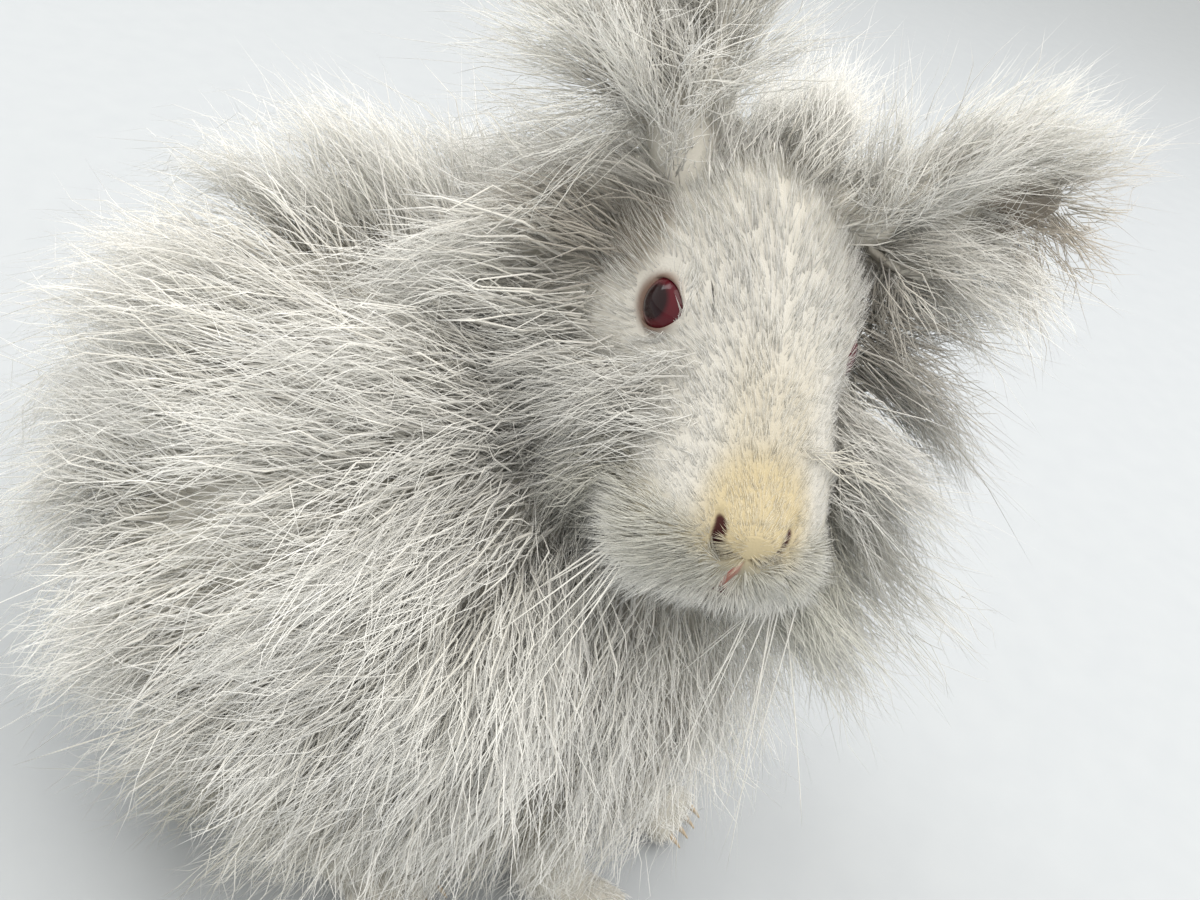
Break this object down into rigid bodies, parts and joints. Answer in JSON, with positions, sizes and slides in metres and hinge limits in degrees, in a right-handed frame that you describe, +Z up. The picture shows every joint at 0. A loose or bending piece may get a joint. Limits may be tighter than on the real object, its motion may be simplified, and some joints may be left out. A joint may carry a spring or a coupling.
{
  "type": "angora rabbit",
  "caption": "Life-size still model of a small angora rabbit sitting upright, its head turned to its right, with long pale wool, a cheek ruff, fringed ears and short-furred face.",
  "frame": {"origin": "middle of the bounding box on the floor, under the body", "axes": "+Z up, -Y the way the body faces, +X the rabbit's own left"},
  "size_m": [0.2051, 0.2663, 0.2892],
  "materials": {
    "wool": "matt",
    "face_fur": "matt",
    "ear_fur": "matt",
    "paw_fur": "matt",
    "eye": "gloss"
  },
  "bodies": {
    "root": {"head": "face_fur", "neck": "wool", "torso": "wool", "tail": "wool", "ear_left": "ear_fur", "ear_right": "ear_fur", "eye_left": "eye", "eye_right": "eye", "front_leg_left": "paw_fur", "front_leg_right": "paw_fur", "hind_leg_left": "paw_fur", "hind_leg_right": "paw_fur"}
  },
  "joints": []
}
